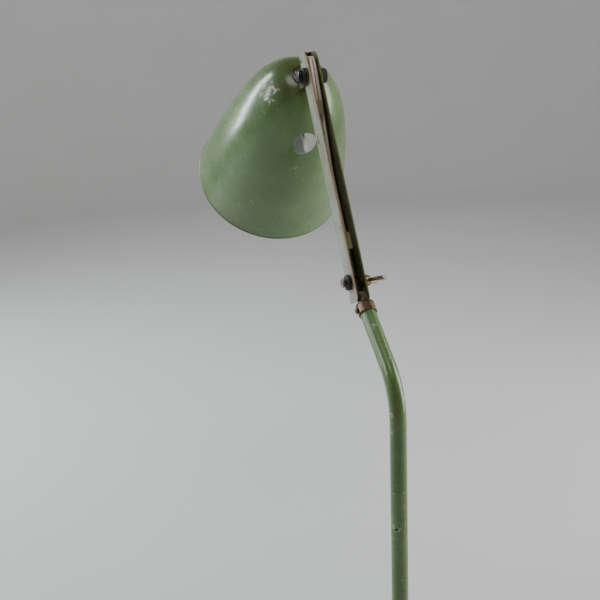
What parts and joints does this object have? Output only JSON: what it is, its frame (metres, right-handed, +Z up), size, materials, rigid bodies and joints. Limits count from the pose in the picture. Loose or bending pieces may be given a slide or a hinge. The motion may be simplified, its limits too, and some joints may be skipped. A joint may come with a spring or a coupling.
{
  "type": "swing arm desk lamp",
  "caption": "Desk lamp with a weighted round base, a bent tube, a tilting channel arm with a wing nut, and a pear-shaped enamelled shade on a friction pivot.",
  "frame": {"origin": "centre of the round base's underside, on the face of the pad that stands on the table", "axes": "+Z up along the vertical part of the tube; +Y the way the arm reaches and the shade points; +X to the right when looking along +Y, the wing nut's side"},
  "size_m": [0.2, 0.5301, 0.5954],
  "materials": {
    "green_enamel": "worn sage green gloss enamel, white inside the shade",
    "browned_steel": "bare steel browned by age",
    "plain_steel": "satin",
    "brass": "dull, tarnished",
    "black_fibre": "matt black",
    "brown_fibre": "matt",
    "bakelite": "dark brown, slightly glossy",
    "ceramic": "white glaze",
    "rubber": "matt black",
    "felt": "dark green felt",
    "cast_iron": "as cast",
    "flex": "cream, slightly yellowed",
    "opal_glass": "opal white"
  },
  "bodies": {
    "base": {"base_pad": "felt", "base_weight": "cast_iron", "base_cover": "green_enamel", "cable_gland": "rubber", "base_stud": "plain_steel", "base_nut": "plain_steel", "base_washer": "plain_steel", "tube_socket": "plain_steel"},
    "thumb_screw": {"socket_thumb_screw": "plain_steel"},
    "stem": {"lower_tube": "green_enamel", "stem_flex_left": "flex", "stem_flex_right": "flex", "tube_collar": "browned_steel", "collar_screw": "browned_steel"},
    "knuckle": {"knuckle": "browned_steel", "knuckle_flex_left": "flex", "knuckle_flex_right": "flex"},
    "arm": {"arm_channel": "green_enamel", "lower_pivot_bolt": "browned_steel", "lower_black_washer": "black_fibre", "lower_steel_washer": "browned_steel", "friction_washer_left": "brown_fibre", "friction_washer_right": "brown_fibre", "arm_flex_left": "flex", "arm_flex_right": "flex"},
    "wing_nut": {"wing_nut": "brass"},
    "head": {"shade": "green_enamel", "head_yoke": "green_enamel", "yoke_rivet": "browned_steel", "upper_pivot_bolt": "browned_steel", "upper_washer_left": "black_fibre", "upper_washer_right": "browned_steel", "upper_cap_nut": "black_fibre", "neck_bush": "bakelite", "neck_nut": "brass", "head_flex_left": "flex", "head_flex_right": "flex", "lampholder_cap": "bakelite", "lampholder_body": "bakelite", "holder_ring": "bakelite", "holder_insert": "ceramic", "centre_contact": "brass", "screw_shell": "brass", "bulb_cap": "brass", "bulb_contact": "plain_steel", "bulb_globe": "opal_glass"},
    "switch_key": {"switch_key": "ceramic"}
  },
  "joints": [
    {"name": "stem_swivel", "type": "hinge", "parent": "base", "child": "stem", "pos_m": [0, 0, 0.0465], "axis": [0, 0, 1], "range_deg": [-170, 170]},
    {"name": "thumb_screw_turn", "type": "hinge", "parent": "base", "child": "thumb_screw", "pos_m": [0, -0.015, 0.064], "axis": [0, -1, 0], "range_deg": [0, 270]},
    {"name": "knuckle_swivel", "type": "hinge", "parent": "stem", "child": "knuckle", "pos_m": [0, 0.07125, 0.38067], "axis": [0, 0.7944, 0.6074], "range_deg": [-150, 150]},
    {"name": "arm_tilt", "type": "hinge", "parent": "knuckle", "child": "arm", "pos_m": [0, 0.09247, 0.39689], "axis": [1, 0, 0], "range_deg": [-45, 50], "deforming": ["knuckle_flex_left", "knuckle_flex_right", "arm_flex_left", "arm_flex_right"]},
    {"name": "wing_nut_turn", "type": "hinge", "parent": "arm", "child": "wing_nut", "pos_m": [0, 0.09247, 0.39689], "axis": [1, 0, 0], "range_deg": [0, 270]},
    {"name": "head_tilt", "type": "hinge", "parent": "arm", "child": "head", "pos_m": [0, 0.20107, 0.57205], "axis": [1, 0, 0], "range_deg": [-38, 12], "deforming": ["arm_flex_left", "arm_flex_right"]},
    {"name": "switch_key_turn", "type": "hinge", "parent": "head", "child": "switch_key", "pos_m": [0, 0.26498, 0.54692], "axis": [0, -0.6211, -0.7837], "range_deg": [0, 90]}
  ]
}
